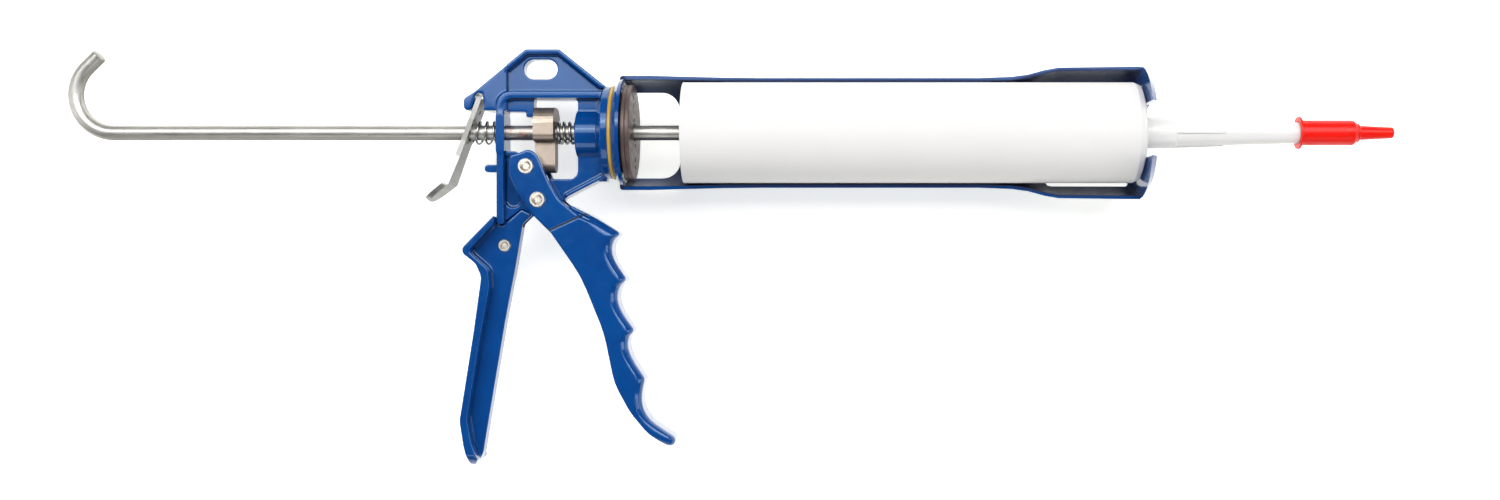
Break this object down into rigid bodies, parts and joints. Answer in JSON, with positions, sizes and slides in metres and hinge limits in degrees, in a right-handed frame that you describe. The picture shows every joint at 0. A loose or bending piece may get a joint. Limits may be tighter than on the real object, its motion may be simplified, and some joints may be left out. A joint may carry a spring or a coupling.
{
  "type": "caulking gun",
  "caption": "Hand-operated caulking gun: squeezing the trigger drives a hooked push rod through a cartridge held in a swivelling half-open cradle.",
  "frame": {"origin": "bottom centre of the whole gun as it lies on its side", "axes": "+X along the push rod from the hook to the nozzle, +Y from the handle up to the hanging lug, +Z out of the gun's side, upwards as it lies"},
  "size_m": [0.6462, 0.2015, 0.0609],
  "materials": {
    "blue_paint": "glossy blue enamel over a metal casting or sheet",
    "zinc_steel": "satin zinc-plated steel",
    "rod_steel": "bright drawn steel",
    "spring_steel": "bright spring wire",
    "sintered_steel": "satin sintered steel, tan grey",
    "yellow_ring": "satin yellow bearing ring",
    "dark_steel": "dull dark brown oiled steel",
    "white_plastic": "matte white plastic",
    "nozzle_plastic": "translucent milky plastic",
    "red_plastic": "soft glossy red plastic"
  },
  "bodies": {
    "frame": {"frame_casting": "blue_paint", "handle": "blue_paint", "handle_rivet": "zinc_steel", "handle_pin": "zinc_steel", "swivel_washer": "yellow_ring", "cradle_washer": "dark_steel", "nose_disc": "dark_steel", "disc_screws": "dark_steel", "drive_spring": "spring_steel", "release_spring": "spring_steel"},
    "trigger": {"trigger": "blue_paint", "trigger_pivot_rivet": "zinc_steel", "thrust_rivet": "zinc_steel"},
    "drive_block": {"drive_block": "sintered_steel"},
    "release_plate": {"release_plate": "zinc_steel"},
    "pusher": {"pusher_plate": "zinc_steel"},
    "push_rod": {"push_rod": "rod_steel", "pusher_washer": "zinc_steel", "pusher_nut": "zinc_steel"},
    "cradle": {"cradle_trough": "blue_paint", "cradle_cup": "blue_paint", "cradle_front_plate": "blue_paint", "cartridge": "white_plastic", "cartridge_piston": "white_plastic", "nozzle": "nozzle_plastic"},
    "cap": {"nozzle_cap": "red_plastic"}
  },
  "joints": [
    {"name": "trigger_squeeze", "type": "hinge", "parent": "frame", "child": "trigger", "pos_m": [-0.09227, 0.0278, 0.0324], "axis": [0, 0, -1], "range_deg": [0, 24], "stiffness_Nm_per_rad": 0.5, "springref_deg": -17.19},
    {"name": "block_slide", "type": "slide", "parent": "frame", "child": "drive_block", "axis": [1, 0, 0], "range_m": [0, 0.0072], "deforming": ["drive_spring"]},
    {"name": "release_tilt", "type": "hinge", "parent": "frame", "child": "release_plate", "pos_m": [-0.12177, 0.0753, 0.0324], "axis": [0, 0, 1], "range_deg": [0, 12], "stiffness_Nm_per_rad": 0.15, "springref_deg": -11.46, "deforming": ["release_spring"]},
    {"name": "rod_slide", "type": "slide", "parent": "frame", "child": "pusher", "axis": [1, 0, 0], "range_m": [-0.036, 0.15]},
    {"name": "rod_spin", "type": "hinge", "parent": "pusher", "child": "push_rod", "pos_m": [-0.06087, 0.0608, 0.0324], "axis": [1, 0, 0], "continuous": true},
    {"name": "cradle_swivel", "type": "hinge", "parent": "frame", "child": "cradle", "pos_m": [-0.06087, 0.0608, 0.0324], "axis": [1, 0, 0], "continuous": true},
    {"name": "cap_pull", "type": "slide", "parent": "cradle", "child": "cap", "axis": [1, 0, 0], "range_m": [0, 0.05]}
  ],
  "couplings": [
    {"joint": "block_slide", "follows": "trigger_squeeze", "m_per_rad": 0.01679}
  ]
}
